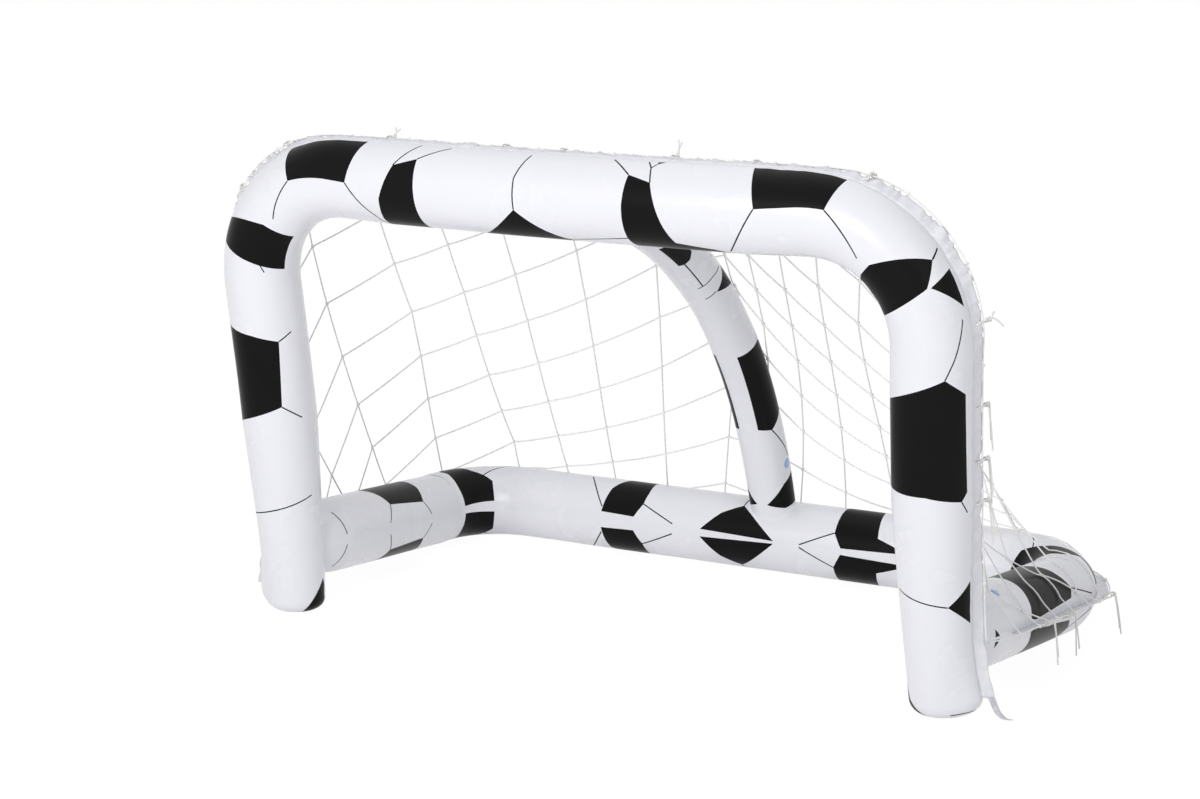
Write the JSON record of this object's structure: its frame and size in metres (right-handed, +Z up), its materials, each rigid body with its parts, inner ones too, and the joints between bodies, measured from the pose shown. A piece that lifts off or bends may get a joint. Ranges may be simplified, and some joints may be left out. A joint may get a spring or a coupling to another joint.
{
  "type": "inflatable soccer goal",
  "caption": "Inflatable soccer goal: welded white air tubes as a leaning arch, a ground frame and a curved centre strut, with flanged valves and a tied net over the back and sides.",
  "frame": {"origin": "middle of the footprint on the floor, at the bottom of the bounding box", "axes": "+Z up, +X along the crossbar, and the goal's mouth faces -Y"},
  "size_m": [2.324, 1.4342, 1.4307],
  "materials": {
    "vinyl_white": "glossy welded vinyl film",
    "strip_vinyl": "translucent flexible vinyl strip",
    "net_cord": "twisted off-white cord",
    "tie_cord": "knotted off-white cord",
    "valve_vinyl": "soft pale blue vinyl"
  },
  "bodies": {
    "goal_frame": {"front_arch": "vinyl_white", "ground_frame": "vinyl_white", "centre_strut": "vinyl_white", "arch_seam_strip": "strip_vinyl", "ground_seam_strip": "strip_vinyl", "arch_tie_01": "tie_cord", "arch_tie_02": "tie_cord", "arch_tie_03": "tie_cord", "arch_tie_04": "tie_cord", "arch_tie_05": "tie_cord", "arch_tie_06": "tie_cord", "arch_tie_07": "tie_cord", "arch_tie_08": "tie_cord", "arch_tie_09": "tie_cord", "arch_tie_10": "tie_cord", "arch_tie_11": "tie_cord", "arch_tie_12": "tie_cord", "arch_tie_13": "tie_cord", "arch_tie_14": "tie_cord", "arch_tie_15": "tie_cord", "ground_tie_01": "tie_cord", "ground_tie_02": "tie_cord", "ground_tie_03": "tie_cord", "ground_tie_04": "tie_cord", "ground_tie_05": "tie_cord", "ground_tie_06": "tie_cord", "ground_tie_07": "tie_cord", "ground_tie_08": "tie_cord", "ground_tie_09": "tie_cord", "ground_tie_10": "tie_cord", "ground_tie_11": "tie_cord", "ground_tie_12": "tie_cord", "net_side_left": "net_cord", "net_back_left": "net_cord", "net_back_right": "net_cord", "net_side_right": "net_cord", "arch_valve_flange": "valve_vinyl", "ground_valve_flange": "valve_vinyl", "strut_valve_flange": "valve_vinyl"},
    "arch_stem": {"arch_valve_stem": "valve_vinyl"},
    "arch_cap": {"arch_valve_cap": "valve_vinyl"},
    "ground_stem": {"ground_valve_stem": "valve_vinyl"},
    "ground_cap": {"ground_valve_cap": "valve_vinyl"},
    "strut_stem": {"strut_valve_stem": "valve_vinyl"},
    "strut_cap": {"strut_valve_cap": "valve_vinyl"}
  },
  "joints": [
    {"name": "arch_valve_pull", "type": "slide", "parent": "goal_frame", "child": "arch_stem", "axis": [0, 0.9914, 0.1305], "range_m": [0, 0.012]},
    {"name": "arch_cap_hinge", "type": "hinge", "parent": "arch_stem", "child": "arch_cap", "pos_m": [0.94172, -0.41688, 0.56328], "axis": [-1, 0, 0], "range_deg": [0, 150]},
    {"name": "ground_valve_pull", "type": "slide", "parent": "goal_frame", "child": "ground_stem", "axis": [0.4384, 0.0987, 0.8934], "range_m": [0, 0.012]},
    {"name": "ground_cap_hinge", "type": "hinge", "parent": "ground_stem", "child": "ground_cap", "pos_m": [1.00277, -0.22627, 0.25798], "axis": [-0.8988, 0.0482, 0.4357], "range_deg": [0, 150]},
    {"name": "strut_valve_pull", "type": "slide", "parent": "goal_frame", "child": "strut_stem", "axis": [0.9993, -0.0274, 0.0272], "range_m": [0, 0.012]},
    {"name": "strut_cap_hinge", "type": "hinge", "parent": "strut_stem", "child": "strut_cap", "pos_m": [0.12008, 0.46105, 0.34761], "axis": [-0.0172, -0.9469, -0.321], "range_deg": [0, 150]}
  ]
}
